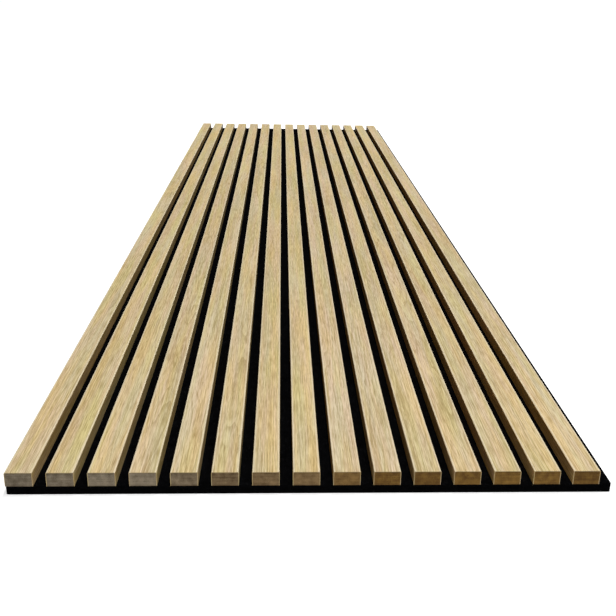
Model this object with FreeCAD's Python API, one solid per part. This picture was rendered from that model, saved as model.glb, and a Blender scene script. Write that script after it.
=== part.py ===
import FreeCAD, Part
import os

# Acoustic slat wall panel, lying on its back. Millimetres.
# X runs across the slats, Y along them and Z out of the wall. The origin is in the middle of the
# felt's back face, which is the face that goes against the wall.

# Driving dimensions

panel_length = 2400.0

slat_count = 15
slat_width = 27.0
slat_gap = 13.0
slat_height = 15.0

veneer_thickness = 0.6
core_edge_radius = 0.7

felt_thickness = 9.0

staple_rows = 6
staple_end_margin = 75.0
staple_crown = 5.8
staple_wire_thickness = 1.0
staple_wire_width = 1.25
staple_sink = 0.8
staple_bite = 8.0
staple_point = 1.2

# Places that follow from them

# Each slat brings its own gap, so the felt ends in a bare lip, one gap wide, that the next panel's
# first slat stands against. The rhythm then runs on across the joint.
slat_pitch = slat_width + slat_gap
panel_width = slat_count * slat_pitch
felt_left = -panel_width / 2
panel_end = -panel_length / 2

core_width = slat_width - 2 * veneer_thickness
core_height = slat_height - veneer_thickness
slat_edge_radius = core_edge_radius + veneer_thickness

staple_row_pitch = (panel_length - 2 * staple_end_margin) / (staple_rows - 1)
staple_leg_tip = felt_thickness + staple_bite


def slat_middle(slat):
    """X of a slat's middle line, counted from 0 at the left, where slat 0 is flush with the felt."""
    return felt_left + slat_width / 2 + slat * slat_pitch


def staple_middles(slat):
    """X, Y of the staples under one slat, in rows that run across the panel."""
    return [
        (slat_middle(slat), panel_end + staple_end_margin + row * staple_row_pitch)
        for row in range(staple_rows)
    ]


def extruded_face(edges, y_from, length):
    """A closed outline in an XZ plane, drawn at y_from and pushed along +Y."""
    outline = Part.Wire(edges)
    outline.translate(FreeCAD.Vector(0, y_from, 0))
    return Part.Face(outline).extrude(FreeCAD.Vector(0, length, 0))


def arch_edges(x_middle, z_foot, width, height, radius):
    """The open outline of a lath: up its left side, over its face and down its right side, with both
    arrises rounded."""
    left, right, top = x_middle - width / 2, x_middle + width / 2, z_foot + height
    slope = radius * (1 - 2 ** -0.5)
    left_foot = FreeCAD.Vector(left, 0, z_foot)
    left_top = FreeCAD.Vector(left, 0, top - radius)
    left_mid = FreeCAD.Vector(left + slope, 0, top - slope)
    face_left = FreeCAD.Vector(left + radius, 0, top)
    face_right = FreeCAD.Vector(right - radius, 0, top)
    right_mid = FreeCAD.Vector(right - slope, 0, top - slope)
    right_top = FreeCAD.Vector(right, 0, top - radius)
    right_foot = FreeCAD.Vector(right, 0, z_foot)
    return [
        Part.makeLine(left_foot, left_top),
        Part.Arc(left_top, left_mid, face_left).toShape(),
        Part.makeLine(face_left, face_right),
        Part.Arc(face_right, right_mid, right_top).toShape(),
        Part.makeLine(right_top, right_foot),
    ]


def foot_line(x_from, x_to):
    """A straight piece of outline along the felt's face."""
    return Part.makeLine(
        FreeCAD.Vector(x_from, 0, felt_thickness), FreeCAD.Vector(x_to, 0, felt_thickness)
    )


def staple(x, y, crown_foot):
    """A bent wire: a crown along X from crown_foot to the wire's thickness above the sink, and two legs
    whose tips are cut to a slant on the inside. The crown of the wire itself starts at the sink; the
    pocket that it leaves in the felt starts at the back face."""
    outer, inner = staple_crown / 2, staple_crown / 2 - staple_wire_thickness
    bend = staple_sink + staple_wire_thickness
    profile = [
        (-outer, crown_foot),
        (outer, crown_foot),
        (outer, staple_leg_tip),
        (inner, staple_leg_tip - staple_point),
        (inner, bend),
        (-inner, bend),
        (-inner, staple_leg_tip - staple_point),
        (-outer, staple_leg_tip),
    ]
    points = [FreeCAD.Vector(x + across, 0, z) for across, z in profile]
    edges = [Part.makeLine(a, b) for a, b in zip(points, points[1:] + points[:1])]
    return extruded_face(edges, y - staple_wire_width / 2, staple_wire_width)


# Felt backing: one board of pressed black felt, cut square, with the staples' pockets in its back


def felt_backing():
    corner = FreeCAD.Vector(felt_left, panel_end, 0)
    board = Part.makeBox(panel_width, panel_length, felt_thickness, corner)
    pockets = [
        staple(x, y, 0) for slat in range(slat_count) for x, y in staple_middles(slat)
    ]
    return board.cut(Part.makeCompound(pockets))


# Slats: a fibreboard lath glued to the felt, and the oak veneer that is wrapped over it


def slat_core(slat):
    middle = slat_middle(slat)
    lath = arch_edges(middle, felt_thickness, core_width, core_height, core_edge_radius)
    foot = foot_line(middle + core_width / 2, middle - core_width / 2)
    core = extruded_face(lath + [foot], panel_end, panel_length)
    wires = [staple(x, y, staple_sink) for x, y in staple_middles(slat)]
    return core.cut(Part.makeCompound(wires))


def slat_veneer(slat):
    middle = slat_middle(slat)
    outside = arch_edges(middle, felt_thickness, slat_width, slat_height, slat_edge_radius)
    inside = arch_edges(middle, felt_thickness, core_width, core_height, core_edge_radius)
    left_foot = foot_line(middle - core_width / 2, middle - slat_width / 2)
    right_foot = foot_line(middle + slat_width / 2, middle + core_width / 2)
    return extruded_face(
        [left_foot] + outside + [right_foot] + inside[::-1], panel_end, panel_length
    )


# Staples: narrow wire staples shot from the back, crowns sunk into the felt and legs in the cores


def staples():
    return Part.makeCompound(
        [
            staple(x, y, staple_sink)
            for slat in range(slat_count)
            for x, y in staple_middles(slat)
        ]
    )


os.makedirs("parts", exist_ok=True)
felt_backing().exportStep("parts/felt_backing.step")
staples().exportStep("parts/staples.step")
for slat in range(slat_count):
    slat_core(slat).exportStep(f"parts/slat_core_{slat + 1:02d}.step")
    slat_veneer(slat).exportStep(f"parts/slat_veneer_{slat + 1:02d}.step")
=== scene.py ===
import math

import bpy
import numpy as np
from mathutils import Matrix, Vector


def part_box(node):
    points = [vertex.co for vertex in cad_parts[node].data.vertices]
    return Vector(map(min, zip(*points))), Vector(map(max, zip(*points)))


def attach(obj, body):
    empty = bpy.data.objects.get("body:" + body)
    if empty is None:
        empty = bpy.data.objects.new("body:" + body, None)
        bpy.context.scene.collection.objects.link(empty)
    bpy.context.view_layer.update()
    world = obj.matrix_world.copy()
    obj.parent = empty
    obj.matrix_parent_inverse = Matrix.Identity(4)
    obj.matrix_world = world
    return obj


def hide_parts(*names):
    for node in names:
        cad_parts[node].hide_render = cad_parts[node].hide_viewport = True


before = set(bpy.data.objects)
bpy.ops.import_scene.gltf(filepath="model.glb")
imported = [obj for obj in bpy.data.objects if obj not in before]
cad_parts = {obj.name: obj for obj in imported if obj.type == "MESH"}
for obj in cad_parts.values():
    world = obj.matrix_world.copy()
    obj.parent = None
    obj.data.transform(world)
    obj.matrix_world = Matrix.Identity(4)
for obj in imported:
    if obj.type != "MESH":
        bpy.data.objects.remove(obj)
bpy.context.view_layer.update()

# Felt board
# One board of black polyester fibre, needled and pressed to 9 mm, then cut square with a knife. It lies
# under every slat and shows in the grooves, as a bare lip on the right, and along its four cut edges.
# The staples that were shot through it from behind draw its back in round their crowns.

mm = 0.001
slat_count = 15
felt_low, felt_high = (np.array(corner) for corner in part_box("felt_backing"))
veneer_boxes = [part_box(f"slat_veneer_{number:02d}") for number in range(1, slat_count + 1)]
slat_lefts = np.array([low.x for low, high in veneer_boxes])
slat_rights = np.array([high.x for low, high in veneer_boxes])
slat_middles = (slat_lefts + slat_rights) / 2
slat_width = float(slat_rights[0] - slat_lefts[0])
slat_pitch = float(slat_lefts[1] - slat_lefts[0])
groove_width = slat_pitch - slat_width

felt_edge_round = 0.2 * mm
felt_corner_round = 3 * mm
relief_fade = 4
groove_swell = 0.3 * mm
swell_unevenness = 0.25
swell_wave_lengths = (70 * mm, 240 * mm)
cut_relief = 0.12 * mm
cut_wave_lengths = (5 * mm, 24 * mm)
cut_layering = (1, 1, 3)

staple_corners = np.array([vertex.co[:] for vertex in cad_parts["staples"].data.vertices])
row_rounding = 5 * mm
staple_rows = np.unique(np.round(staple_corners[:, 1] / row_rounding)) * row_rounding
staple_half_crown = 2.9 * mm
pucker_depth = 1.25 * mm
pucker_spread = 1.7 * mm


def random_waves(points, shortest, longest, seed, count=28):
    """Smooth random relief between about -1 and 1: the sum of cosine waves with random directions and
    phases, whose lengths are spread evenly by ratio from shortest to longest, over the root of their
    number."""
    draw = np.random.default_rng(seed)
    ways = draw.normal(size=(3, count))
    ways /= np.linalg.norm(ways, axis=0)
    lengths = shortest * (longest / shortest) ** draw.random(count)
    phases = draw.random(count) * 2 * np.pi
    return np.cos(points @ (ways * 2 * np.pi / lengths) + phases).sum(1) / math.sqrt(count)


def block_skin(xs, ys, zs):
    """The skin of a block as one closed surface. Its points are those points of the lattice xs, ys, zs
    that lie on one of the six sides, and its faces are the quads between neighbours on a side."""
    lattice = np.stack(np.meshgrid(xs, ys, zs, indexing="ij"), -1)
    on_side = np.zeros(lattice.shape[:3], bool)
    for axis in range(3):
        ends = [slice(None)] * 3
        ends[axis] = [0, -1]
        on_side[tuple(ends)] = True
    number = np.cumsum(on_side).reshape(on_side.shape) - 1

    def quads(side, turned):
        corners = np.stack([side[:-1, :-1], side[1:, :-1], side[1:, 1:], side[:-1, 1:]], -1)
        corners = corners.reshape(-1, 4)
        return corners[:, ::-1] if turned else corners

    faces = [
        quads(number[:, :, 0], True),
        quads(number[:, :, -1], False),
        quads(number[:, 0, :], False),
        quads(number[:, -1, :], True),
        quads(number[0, :, :], True),
        quads(number[-1, :, :], False),
    ]
    return lattice[on_side], np.concatenate(faces)


def new_piece(name, points, faces, smooth=True):
    """A mesh object at the origin from an array of points and an array of faces of equal size."""
    mesh = bpy.data.meshes.new(name)
    sides = faces.shape[1]
    mesh.vertices.add(len(points))
    mesh.vertices.foreach_set("co", points.astype(np.float32).ravel())
    mesh.loops.add(faces.size)
    mesh.loops.foreach_set("vertex_index", faces.astype(np.int32).ravel())
    mesh.polygons.add(len(faces))
    mesh.polygons.foreach_set("loop_start", np.arange(0, faces.size, sides, dtype=np.int32))
    mesh.polygons.foreach_set("use_smooth", np.full(len(faces), smooth))
    mesh.update(calc_edges=True)
    mesh.validate()
    piece = bpy.data.objects.new(name, mesh)
    bpy.context.scene.collection.objects.link(piece)
    return piece


def staple_distance(points):
    """How far each point lies from the nearest staple's crown, which is a short line along X, measured
    in the plane of the board."""
    across = np.abs(points[:, :1] - slat_middles).min(1)
    along = np.abs(points[:, 1:2] - staple_rows).min(1)
    return np.hypot(np.maximum(across - staple_half_crown, 0), along)


def with_round_corners(points):
    """The board with its four upright corners rounded. What stands past the board shrunk by their
    radius is scaled by its longer part over its length, which turns a square corner into a quarter
    circle."""
    inner = np.clip(points, felt_low + felt_corner_round, felt_high - felt_corner_round)[:, :2]
    past = points[:, :2] - inner
    no_length = 1e-9
    share = np.abs(past).max(1) / np.maximum(np.linalg.norm(past, axis=1), no_length)
    scale = np.where(share > 0, share, 1)[:, None]
    return np.column_stack([inner + past * scale, points[:, 2]])


def felt_points(points):
    """The board's true surface, from the points of a square block. Each point is first pulled onto a
    block with rounded edges: it moves to the edges' radius from the block shrunk by that radius. The
    top then swells in the grooves as half a sine wave across them, uneven along them. The cut edges get
    the ragged relief of a knife cut, whose waves are a third as long through the layers. The back is
    drawn in round each staple as a bell curve of the distance from its crown. Round the edges each
    relief fades as the fourth power of the outward way's part across its side. Last, the corners are
    rounded."""
    inner = np.clip(points, felt_low + felt_edge_round, felt_high - felt_edge_round)
    outward = points - inner
    outward /= np.linalg.norm(outward, axis=1, keepdims=True)
    shaped = inner + outward * felt_edge_round

    from_slat = (points[:, 0] - felt_low[0]) % slat_pitch - slat_width
    arch = np.sin(np.pi * np.clip(from_slat / groove_width, 0, 1))
    uneven = random_waves(points, *swell_wave_lengths, seed=3)
    swell = arch * (1 - swell_unevenness + swell_unevenness * uneven)
    on_top = np.clip(outward[:, 2], 0, 1) ** relief_fade
    shaped[:, 2] += groove_swell * swell * on_top

    ragged = np.abs(random_waves(points * cut_layering, *cut_wave_lengths, seed=5))
    on_cut = np.hypot(outward[:, 0], outward[:, 1]) ** relief_fade
    shaped[:, :2] -= outward[:, :2] * (cut_relief * ragged * on_cut)[:, None]

    bell = np.exp(-((staple_distance(points) / pucker_spread) ** 2))
    on_back = np.clip(-outward[:, 2], 0, 1) ** relief_fade
    shaped[:, 2] += pucker_depth * bell * on_back
    return with_round_corners(shaped)


def felt_board():
    """Lattice lines stand close together where the surface turns: at the board's edges, at the feet of
    the slats and round the staples. Lines that fall within a hundredth of a millimetre are one."""
    from_edge = np.array([0, 0.3, 0.8, 1.7, 3.2]) * mm
    from_crown = np.array([0, 2.6, 3.4, 4.4, 6.5]) * mm
    from_row = np.array([0, 0.6, 1.2, 2.0, 3.2, 5.5]) * mm
    into_groove = np.linspace(0, groove_width, 5)[:-1]
    under_slat = 3 * mm
    first_line, last_line, line_pitch = 12 * mm, 8 * mm, 20 * mm
    across = np.concatenate(
        [felt_low[0] + from_edge, felt_high[0] - from_edge]
        + [slat_middles + side * step for step in from_crown for side in (-1, 1)]
        + [slat_rights + step for step in into_groove]
        + [slat_lefts + under_slat]
    )
    along = np.concatenate(
        [felt_low[1] + from_edge, felt_high[1] - from_edge]
        + [staple_rows + side * step for step in from_row for side in (-1, 1)]
        + [np.arange(felt_low[1] + first_line, felt_high[1] - last_line, line_pitch)]
    )
    up = np.array([0, 0.3, 0.8, 1.9, 3.1, 4.5, 5.9, 7.1, 8.2, 8.7, 9]) * mm
    across, along = (np.unique(np.round(lines, 5)) for lines in (across, along))
    points, faces = block_skin(across, along, up)
    return new_piece("felt_board", felt_points(points), faces)


class Shade:
    """One output of a shader node. Arithmetic on it adds Math nodes, and node() adds any other."""

    def __init__(self, tree, output=None):
        self.tree = tree
        self.output = output

    def node(self, kind, settings, inputs, output=0):
        """A new node: its settings come first, then the values or links of its inputs."""
        made = self.tree.nodes.new("ShaderNode" + kind)
        for name, value in settings.items():
            setattr(made, name, value)
        for name, value in inputs.items():
            if isinstance(value, Shade):
                self.tree.links.new(value.output, made.inputs[name])
            else:
                made.inputs[name].default_value = value
        return Shade(self.tree, made.outputs[output] if made.outputs else None)

    def outputs(self):
        """All outputs of this one's node, by name."""
        return {socket.name: Shade(self.tree, socket) for socket in self.output.node.outputs}

    def math(self, operation, *values):
        """A Math node on this shade and then the values."""
        return self.node("Math", {"operation": operation}, dict(enumerate((self, *values))))

    def __add__(self, other):
        return self.math("ADD", other)

    __radd__ = __add__

    def __mul__(self, other):
        return self.math("MULTIPLY", other)

    __rmul__ = __mul__

    def __sub__(self, other):
        return self.math("SUBTRACT", other)

    def __rsub__(self, other):
        return self.node("Math", {"operation": "SUBTRACT"}, {0: other, 1: self})

    def __truediv__(self, other):
        return self.math("DIVIDE", other)

    def __rtruediv__(self, other):
        return self.node("Math", {"operation": "DIVIDE"}, {0: other, 1: self})

    def root(self):
        """Its square root."""
        return self.math("POWER", 0.5)

    def size(self):
        """Its distance from zero."""
        return self.math("ABSOLUTE")

    def step(self, low, high):
        """0 up to low, 1 from high on, and smooth between them. low may be the higher one."""
        limits = {"From Min": low, "From Max": high}
        settings = {"interpolation_type": "SMOOTHSTEP"}
        return self.node("MapRange", settings, {"Value": self, **limits})

    def axes(self):
        """The X, Y and Z of a place."""
        return self.node("SeparateXYZ", {}, {0: self}).outputs().values()

    def at(self, x, y, z):
        """A place from three numbers or shades."""
        return self.node("CombineXYZ", {}, {0: x, 1: y, 2: z})

    def noise(self, detail=2.0, roughness=0.5):
        """Random relief from 0 to 1, with bumps about one unit long where this place is sampled: x * 14
        gives 14 bumps to the metre."""
        rates = {"Scale": 1.0, "Detail": detail, "Roughness": roughness}
        return self.node("TexNoise", {}, {"Vector": self, **rates})

    def mixed(self, low, high):
        """A colour that is low where this is 0 and high where this is 1."""
        return self.node("Mix", {"data_type": "RGBA"}, {0: self, 6: low, 7: high}, output=2)

    def times(self, red, green, blue):
        """This colour with its three parts multiplied."""
        settings = {"operation": "MULTIPLY"}
        return self.node("VectorMath", settings, {0: self, 1: (red, green, blue)})

    def bump(self, depth):
        """The normal of a surface that stands depth metres high where this is 1."""
        return self.node("Bump", {}, {"Strength": 1.0, "Distance": depth, "Height": self})


def new_material(name):
    """An empty material and the Object coordinates in it, in metres."""
    material = bpy.data.materials.new(name)
    material.use_nodes = True
    material.node_tree.nodes.clear()
    return material, Shade(material.node_tree).node("TexCoord", {}, {}, "Object")


def finish_material(place, inputs):
    """Ends a material in one surface shader with these inputs."""
    surface = place.node("BsdfPrincipled", {}, inputs)
    place.node("OutputMaterial", {}, {"Surface": surface})


def felt_material():
    """Black fibres in every direction: three stretched noises, turned apart, give the crossing threads,
    and a coarser one the cloudy needling. Layers show on the cut edges as bands across Z. Where the mix
    of them is low the black deepens, as painted shade in the gaps between fibres. The fibres that stand
    out most get a painted highlight of lighter grey."""
    material, place = new_material("needled_black_felt")
    x, y, z = place.axes()

    def threads(turn):
        """Noise drawn out along one way in the plane of the board."""
        along = x * math.cos(turn) + y * math.sin(turn) + z * 0.4
        across = y * math.cos(turn) - x * math.sin(turn) + z * 0.8
        return place.at(along * 180, across * 1700, z * 1500).noise(2.0, 0.6)

    thread = threads(0.3).math("MAXIMUM", threads(1.4)).math("MAXIMUM", threads(2.5))
    cloud = place.at(x * 120, y * 120, z * 300).noise(3.0, 0.55)
    layer = place.at(x * 60, y * 60, z * 1400).noise(2.0, 0.5)
    tone = (thread * 0.5 + cloud * 0.3 + layer * 0.2).step(0.35, 0.75)
    # The first colour is painted shade, the black in the gaps between fibres.
    gap_shade_black, fibre_black = (0.0006, 0.0006, 0.00066, 1), (0.0035, 0.0035, 0.004025, 1)
    glint_grey = (0.022, 0.022, 0.0242, 1)
    colour = tone.mixed(gap_shade_black, fibre_black)
    # Painted highlight: the threads that stand out most turn a lighter grey.
    colour = thread.step(0.66, 0.78).mixed(colour, glint_grey)
    finish_material(
        place,
        {
            "Base Color": colour,
            "Roughness": 0.95,
            "Specular IOR Level": 0.0,
            "Normal": (thread * 0.7 + cloud * 0.3).bump(0.6 * mm),
        },
    )
    return material


board = felt_board()
black_felt = felt_material()
board.data.materials.append(black_felt)
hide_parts("felt_backing")
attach(board, "root")

# Loose fibres
# Ends and loops of polyester fibre that the knife and the needles left standing: a fringe along the
# board's cut edges, and single hairs that lie about in the grooves and on the lip.

fringe_count = 3600
stray_count = 3600
fringe_heights = (0.08, 0.96)
groove_margin = 0.05
fringe_spread, stray_spread = 0.33, 1.32
least_outward = 0.25
bend_spread = 0.35
stray_droop = 0.3
shortest_fibre = 0.75 * mm
length_range = 1.5 * mm
stray_extra_length = 1.2 * mm
fibre_root = 0.6 * mm
fibre_radius = 0.028 * mm
fibre_taper = 0.55
fibre_stations = np.array([0.0, 0.35, 0.7, 1.0])
tube_sides = 3
back_clearance = 0.15 * mm
slat_clearance = 0.1 * mm


def fringe_roots(draw):
    """Places spread evenly round the four cut edges, each with its way straight out of the edge."""
    wide, long, thick = felt_high - felt_low
    round_trip = draw.random(fringe_count) * 2 * (wide + long)
    on_end = round_trip < 2 * wide
    far_side = np.where(on_end, round_trip > wide, round_trip > 2 * wide + long)
    share = draw.random(fringe_count)
    lowest, highest = fringe_heights
    height = felt_low[2] + (lowest + (highest - lowest) * draw.random(fringe_count)) * thick
    side = np.where(far_side, 1, -1)
    way = np.column_stack([np.where(on_end, 0, side), np.where(on_end, side, 0), 0 * side])
    x = np.where(on_end, felt_low[0] + share * wide, side * felt_high[0])
    y = np.where(on_end, side * felt_high[1], felt_low[1] + share * long)
    return np.column_stack([x, y, height]), way


def stray_roots(draw):
    """Places spread evenly over the grooves and the lip, each with its way straight up."""
    groove = draw.integers(0, slat_count, stray_count)
    share = groove_margin + (1 - 2 * groove_margin) * draw.random(stray_count)
    x = slat_rights[groove] + share * groove_width
    y = felt_low[1] + draw.random(stray_count) * (felt_high - felt_low)[1]
    root = np.column_stack([x, y, np.full(stray_count, felt_high[2])])
    return root, np.tile((0.0, 0.0, 1.0), (stray_count, 1))


def fibre_lines():
    """The fibres' middle lines, the fringe's first, and the way in which each sets out. A line starts
    inside the board and runs as root + way * length * t + bend * length * t^2. The way is the outward
    way plus a random one, which counts for more on the stray hairs, and these droop. Lengths follow the
    square of a random share, so most are short. No line goes below the board's back, and none of a
    stray hair goes into a slat."""
    draw = np.random.default_rng(17)
    fringe, out = fringe_roots(draw)
    stray, up = stray_roots(draw)
    root, outward = np.concatenate([fringe, stray]), np.concatenate([out, up])
    count = len(root)
    is_stray = (np.arange(count) >= fringe_count)[:, None]

    way = outward + draw.normal(size=(count, 3)) * np.where(is_stray, stray_spread, fringe_spread)
    way += outward * np.clip(least_outward - (way * outward).sum(1), 0, None)[:, None]
    way /= np.linalg.norm(way, axis=1, keepdims=True)
    bend = draw.normal(size=(count, 3)) * bend_spread - outward * stray_droop * is_stray
    length = shortest_fibre + length_range * draw.random(count)[:, None] ** 2
    length = length + stray_extra_length * is_stray

    t = fibre_stations[:, None]
    reach = t * length[:, None]
    line = (root - outward * fibre_root)[:, None] + way[:, None] * (reach + fibre_root * (t > 0))
    line += bend[:, None] * t * reach
    line[..., 2] = np.maximum(line[..., 2], felt_low[2] + back_clearance)

    stray_x = line[fringe_count:, :, 0]
    groove = np.floor((stray_x[:, :1] - felt_low[0]) / slat_pitch).astype(int)
    groove = np.clip(groove, 0, slat_count - 1)
    left_wall = slat_rights[groove] + slat_clearance
    right_wall = left_wall + groove_width - 2 * slat_clearance
    right_wall = np.where(groove == slat_count - 1, np.inf, right_wall)
    line[fringe_count:, :, 0] = np.clip(stray_x, left_wall, right_wall)
    return line, way


def fibre_tubes(line, way):
    """Closed three-sided tubes. Each station is a ring of three points at the fibre's radius round its
    line, in the plane across the way in which it sets out. The radius shrinks evenly to the tip."""
    beside = np.cross(way, (0.3, 0.5, 0.8))
    beside /= np.linalg.norm(beside, axis=1, keepdims=True)
    above = np.cross(way, beside)
    radius = (fibre_radius * (1 - fibre_taper * fibre_stations))[:, None]
    rings = np.stack(
        [
            line + radius * (beside[:, None] * math.cos(turn) + above[:, None] * math.sin(turn))
            for turn in np.arange(tube_sides) * 2 * np.pi / tube_sides
        ],
        2,
    )
    corner = np.arange(len(fibre_stations) * tube_sides).reshape(-1, tube_sides)
    here, there = corner[:-1], corner[1:]
    next_here, next_there = np.roll(here, -1, 1), np.roll(there, -1, 1)
    one_tube = np.concatenate(
        [
            np.stack([here, next_here, next_there], -1).reshape(-1, 3),
            np.stack([here, next_there, there], -1).reshape(-1, 3),
            corner[:1, ::-1],
            corner[-1:],
        ]
    )
    faces = np.arange(len(line))[:, None, None] * corner.size + one_tube
    return rings.reshape(-1, 3), faces.reshape(-1, 3)


fibres = new_piece("felt_fibres", *fibre_tubes(*fibre_lines()))
fibres.data.materials.append(black_felt)
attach(fibres, "root")

# Slat cores
# Fifteen laths of brown fibreboard, ripped from one board and cut to length with a circular saw. They
# are glued to the felt and stapled from behind, and only their two cut ends show.

felt_left, felt_face = float(felt_low[0]), float(felt_high[2])
slat_top = veneer_boxes[0][1].z
core_height = slat_top - felt_face
core_middle = felt_face + core_height / 2


def slat_number(x):
    """Which slat a place is in, counted from 0 at the left: whole pitches from the felt's left side."""
    return ((x - felt_left) / slat_pitch).math("FLOOR")


def fibreboard_material():
    """Pressed fibres lie flat, so the cut end shows bands along X. The board is denser, and darker,
    towards its two faces, and paler towards the foot. A saw leaves faint upright strokes. The laths run
    from greyish brown at the left to redder brown at the right, and their tone rises and falls as a
    cosine wave from lath to lath."""
    material, place = new_material("sawn_brown_fibreboard")
    x, y, z = place.axes()
    slat = slat_number(x)
    above_middle = z - core_middle
    band = place.at(x * 14, y * 90, z * 560 + slat * 3.7).noise(3.0, 0.7) - 0.5
    speck = place.at(x * 1100, y * 900, z * 1700).noise(2.0, 0.6) - 0.5
    patch = place.at(x * 150 + slat * 5.1, y * 20, z * 150).noise(2.0, 0.5) - 0.5
    stroke = place.at(x * 700 + z * 90, slat * 2.3, z * 25).noise(2.0, 0.6)
    dense = (above_middle / (core_height / 2)).size().step(0.6, 1.0)
    wave = ((slat - 2.6) * 1.34).math("COSINE")
    redder = (slat / (slat_count - 1) - wave * 0.04).step(0.12, 0.68)
    tone = band * 0.9 + speck + patch * 1.1 + wave * 0.12 - slat * 0.012 - above_middle * 12.0
    tone = (tone + 0.56).step(0.0, 1.0)

    dark_grey_brown, grey_brown = (0.09, 0.07, 0.044, 1), (0.29, 0.237, 0.165, 1)
    dark_red_brown, red_brown = (0.085, 0.04, 0.007, 1), (0.25, 0.137, 0.028, 1)
    dense_brown = (0.06, 0.036, 0.015, 1)
    left = tone.mixed(dark_grey_brown, grey_brown)
    right = tone.mixed(dark_red_brown, red_brown)
    brown = (dense * 0.3).mixed(redder.mixed(left, right), dense_brown)
    finish_material(
        place,
        {
            "Base Color": brown,
            "Roughness": 0.85,
            "Specular IOR Level": 0.2,
            "Normal": (speck * 0.5 + band * 0.2 + stroke * 0.3).bump(0.15 * mm),
        },
    )
    return material


fibreboard = fibreboard_material()
for number in range(1, slat_count + 1):
    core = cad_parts[f"slat_core_{number:02d}"]
    core.data.materials.clear()
    core.data.materials.append(fibreboard)

# Oak veneer
# A 0.6 mm skin of light oak, sliced along the log and wrapped in one strip over each core's face and
# both long sides, then sealed with matt lacquer. Each strip comes from another part of the log, so
# some show nearly straight growth rings and some the tops of long arches.

mm_to_the_metre = 1000
half_length = float(felt_high[1])
half_slat = slat_width / 2
ring_spacing = 2.6
arch_slope = 0.016


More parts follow.
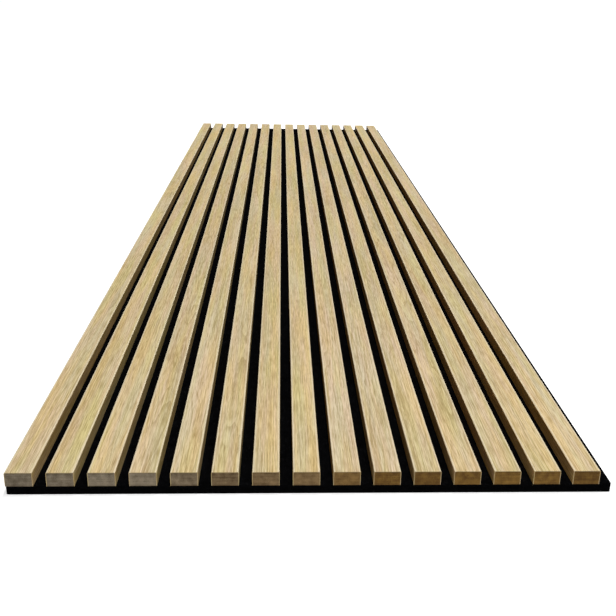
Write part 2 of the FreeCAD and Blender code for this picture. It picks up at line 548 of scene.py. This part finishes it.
def oak_material():
    """The strip is rolled flat: across is the distance in millimetres from the slat's middle line over
    the face and down the sides. Growth rings are circles round a pith that lies off to one side and
    tilts along the slat: ring = root of (across - pith)^2 + (depth below the pith)^2, over the spacing.
    Each ring starts with a dark porous line and fades. Pores are short dashes along the grain. The tone
    plays between warm and green and between gold and pale along each strip. From just under the arris
    down, the sides are browner and darker as painted shade: greyer on the left slats, lighter on the
    last ones at the right, and about a third weaker over the last 110 mm towards each end, as painted
    light from the front reaching into the grooves. A pale band on the arrises is a painted highlight,
    and the cut edge is dark."""
    material, place = new_material("light_oak_veneer")
    x, y, z = place.axes()
    slat = slat_number(x)
    chance = place.node("TexWhiteNoise", {"noise_dimensions": "1D"}, {"W": slat + 0.37}, output=1)
    first, second, third = chance.axes()
    middle = slat * slat_pitch + (felt_left + half_slat)
    from_middle = (x - middle) * mm_to_the_metre
    below_face = (slat_top - z) * mm_to_the_metre
    across = from_middle + from_middle.math("SIGN") * below_face
    along = y * mm_to_the_metre
    start = first * 700 + slat * 61.0

    def grain(wide, long, layer, detail=2.0, roughness=0.5):
        """Noise drawn out along the grain, in bumps so many millimetres wide and long."""
        return place.at(across / wide, along / long + start, slat + layer).noise(detail, roughness)

    drift = grain(30, 380, 0.0) - 0.5
    sway = grain(9, 90, 0.0) - 0.5
    off_pith = across - (second - 0.5) * 90 + drift * 9 + sway * 1.6
    below_pith = (third - 0.5) * 60 + along * arch_slope + drift * 26
    from_pith = (off_pith * off_pith + below_pith * below_pith + 30.0).root()
    turn = (from_pith / ring_spacing + sway * 0.5).math("FRACT")
    early = turn.step(0.4, 0.0)
    late = turn.step(0.6, 1.0)

    pore = grain(2 / 3, 14, 0.0, 2.0, 0.6).step(0.56, 0.7) * (early * 0.7 + 0.3)
    streak = grain(2, 110, 0.0, 4.0, 0.7) - 0.5
    fine = grain(5 / 6, 26, 5.0, 2.0, 0.6) - 0.5
    broad = grain(22, 450, 0.0) - 0.5
    warm = grain(16, 330, 3.0, 3.0, 0.6).step(0.35, 0.65)
    gold = grain(12, 240, 7.0, 3.0, 0.6).step(0.35, 0.65) * 0.65 + second * 0.35
    fleck = grain(5 / 3, 7, 9.0, 2.0, 0.6).step(0.58, 0.75)
    tone = streak * 1.4 + broad * 0.6 + fine * 1.7 - early * 0.2 + late * 0.08
    tone = (tone + (first - 0.5) * 0.09 + 0.56).step(0.0, 1.0)

    dark_oak, light_oak = (0.39, 0.28, 0.11, 1), (0.76, 0.615, 0.33, 1)
    fleck_oak, pore_brown = (0.78, 0.66, 0.43, 1), (0.25, 0.155, 0.06, 1)
    # The first colour here is a painted highlight for the arrises; the second is the dark cut edge.
    arris_highlight_oak, cut_oak = (0.78, 0.68, 0.48, 1), (0.3, 0.215, 0.1, 1)
    wood = tone.mixed(dark_oak, light_oak)
    wood = warm.mixed(wood.times(0.96, 1.012, 1.0), wood.times(1.045, 0.982, 1.0))
    wood = gold.mixed(wood.times(1.0, 1.01, 1.3), wood.times(1.0, 0.99, 0.84))
    wood = (fleck * 0.18).mixed(wood, fleck_oak)
    wood = (pore * 0.7).mixed(wood, pore_brown)

    from_end = half_length - y.size()
    at_cut = from_end.step(0.15 * mm, 0.05 * mm)
    # Painted light: over the last 110 mm towards each end the painted side shade weakens by about a
    # third, as light from the front reaching into the grooves.
    painted_end_light = from_end.step(110 * mm, 0.0)
    # Painted shade: from just under the arris down, the sides are darkened and browned, except on the
    # cut edge.
    on_side = below_face.step(0.1, 0.6) * (1 - at_cut) * (1 - painted_end_light * 0.35)
    # The painted side shade is greyer on the left slats and lighter on the last ones at the right.
    greyer = (slat - 3.0).size().step(5.0, 1.0)
    lighter = slat.step(10.0, 12.0)
    shaded_side_wood = greyer.mixed(wood.times(0.68, 0.535, 0.33), wood.times(0.67, 0.62, 0.49))
    shaded_side_wood = lighter.mixed(shaded_side_wood, wood.times(0.86, 0.66, 0.4))
    wood = on_side.mixed(wood, shaded_side_wood)

    from_side = half_slat * mm_to_the_metre - from_middle.size()
    # Painted highlight: a pale band along the arrises of the face.
    arris_highlight = from_side.step(2.7, 0.9) * below_face.step(0.8, 0.2)
    wood = (arris_highlight * 0.75).mixed(wood, arris_highlight_oak)
    wood = (at_cut * 0.55).mixed(wood, cut_oak)
    finish_material(
        place,
        {
            "Base Color": wood,
            "Roughness": 0.58 - tone * 0.08 + pore * 0.2,
            "Specular IOR Level": 0.12,
            "Normal": (streak * 0.5 - early * 0.2 - pore * 0.6).bump(0.06 * mm),
        },
    )
    return material


oak = oak_material()
for number in range(1, slat_count + 1):
    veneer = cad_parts[f"slat_veneer_{number:02d}"]
    veneer.data.materials.clear()
    veneer.data.materials.append(oak)

# Staples
# Narrow zinc-plated wire staples, shot from behind through the felt into each core. Their crowns lie
# in the puckers in the felt's back.


def zinc_material():
    """Drawn wire: fine lines along the crown and the legs, cloudy zinc and a little dull oxide."""
    material, place = new_material("zinc_plated_wire")
    x, y, z = place.axes()
    drawn = place.at(x * 300, y * 9000, z * 300).noise(2.0, 0.5)
    cloud = place.at(x * 500, y * 500, z * 500).noise(3.0, 0.6)
    dull_zinc, bright_zinc = (0.42, 0.43, 0.45, 1), (0.62, 0.63, 0.65, 1)
    finish_material(
        place,
        {
            "Base Color": cloud.step(0.3, 0.7).mixed(dull_zinc, bright_zinc),
            "Metallic": 1.0,
            "Roughness": cloud * 0.2 + 0.3,
            "Normal": drawn.bump(0.02 * mm),
        },
    )
    return material


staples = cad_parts["staples"]
staples.data.materials.clear()
staples.data.materials.append(zinc_material())

# Floor, light and camera
# The panel lies on its back on a white floor that runs out of sight. A softbox seven metres long hangs
# high over it, right of its middle, and runs on past its far end. Two small ones stand at the near end,
# one high on the right and one behind and above the camera, which looks down along the panel.

floor_reach = 40.0
floor_gap = 0.2 * mm
shadow_ends, plain_from = 1.2, 3.2
least_glow = 0.55
white, black, paper_white = (1, 1, 1, 1), (0, 0, 0, 1), (0.84, 0.84, 0.84, 1)


def ray_kinds(shade):
    """1 for the rays from the eye, and 1 for those that a shiny or a clear surface sends on."""
    rays = shade.node("LightPath", {}, {}).outputs()
    return rays["Is Camera Ray"], rays["Is Glossy Ray"] + rays["Is Transmission Ray"]


def floor_material():
    """White paper that keeps the shadow: a diffuse white, to which rays from the eye and from shiny
    surfaces add a glow that takes the lit part to white, and grows where no shadow falls."""
    material, place = new_material("white_floor")
    x, y, z = place.axes()
    far = (x * x + y * y).root().step(shadow_ends, plain_from)
    from_eye, sent_on = ray_kinds(place)
    share = (from_eye + sent_on).step(0, 1) * (far * (1 - least_glow) + least_glow)
    paper = place.node("BsdfDiffuse", {}, {"Color": paper_white})
    glow = place.node("Emission", {}, {"Color": share.mixed(black, white), "Strength": 1.0})
    both = place.node("AddShader", {}, {0: paper, 1: glow})
    place.node("OutputMaterial", {}, {"Surface": both})
    return material


corners = np.array([[-1, -1, 0], [1, -1, 0], [1, 1, 0], [-1, 1, 0]])
floor = new_piece("floor", corners * floor_reach - (0, 0, floor_gap), np.array([[0, 1, 2, 3]]), False)
floor.data.materials.append(floor_material())

world = bpy.data.worlds.new("white_room")
world.use_nodes = True
world.node_tree.nodes.clear()
room = Shade(world.node_tree)
from_eye, sent_on = ray_kinds(room)
strength = from_eye * 1.05 + sent_on * 0.3 + 0.02
background = room.node("Background", {}, {"Color": white, "Strength": strength})
room.node("OutputWorld", {}, {"Surface": background})
bpy.context.scene.world = world


def soft_lamp(name, wide, high, watts, place, aim):
    """A flat rectangular lamp at its place, turned so that its light goes towards aim."""
    light = bpy.data.lights.new(name, "AREA")
    light.shape = "RECTANGLE"
    light.size, light.size_y, light.energy = wide, high, watts
    holder = bpy.data.objects.new(name, light)
    turn = (Vector(aim) - Vector(place)).to_track_quat("-Z", "Y")
    holder.matrix_world = Matrix.Translation(place) @ turn.to_matrix().to_4x4()
    bpy.context.scene.collection.objects.link(holder)


soft_lamp("overhead_softbox", 7.0, 0.6, 290.0, (0.43, 2.2, 4.6), (0.23, 2.2, 0.0))
soft_lamp("right_softbox", 0.5, 0.5, 6.5, (0.8, -1.9, 1.3), (0.0, -0.9, 0.0))
soft_lamp("front_softbox", 0.5, 0.5, 8.8, (-0.03, -2.5, 0.9), (0.0, -0.9, 0.0))

frame_pixels = 616
lens_pixels = 913.16
middle_right_pixels, middle_down_pixels = 15.83, 21.29
eye = (-32.4 * mm, -1990.0 * mm, 470.6 * mm)
look_right, look_down, lean = 0.0503, 0.3591, 0.0214

lens = bpy.data.cameras.new("camera")
lens.sensor_width = 36.0
lens.lens = lens_pixels / frame_pixels * lens.sensor_width
lens.shift_x = -middle_right_pixels / frame_pixels
lens.shift_y = middle_down_pixels / frame_pixels
lens.clip_start, lens.clip_end = 0.01, 200.0
camera = bpy.data.objects.new("camera", lens)
aim = Matrix.Rotation(-look_right, 4, "Z") @ Matrix.Rotation(math.pi / 2 - look_down, 4, "X")
camera.matrix_world = Matrix.Translation(eye) @ aim @ Matrix.Rotation(lean, 4, "Z")
bpy.context.scene.collection.objects.link(camera)
bpy.context.scene.camera = camera
bpy.context.scene.view_settings.view_transform = "Standard"
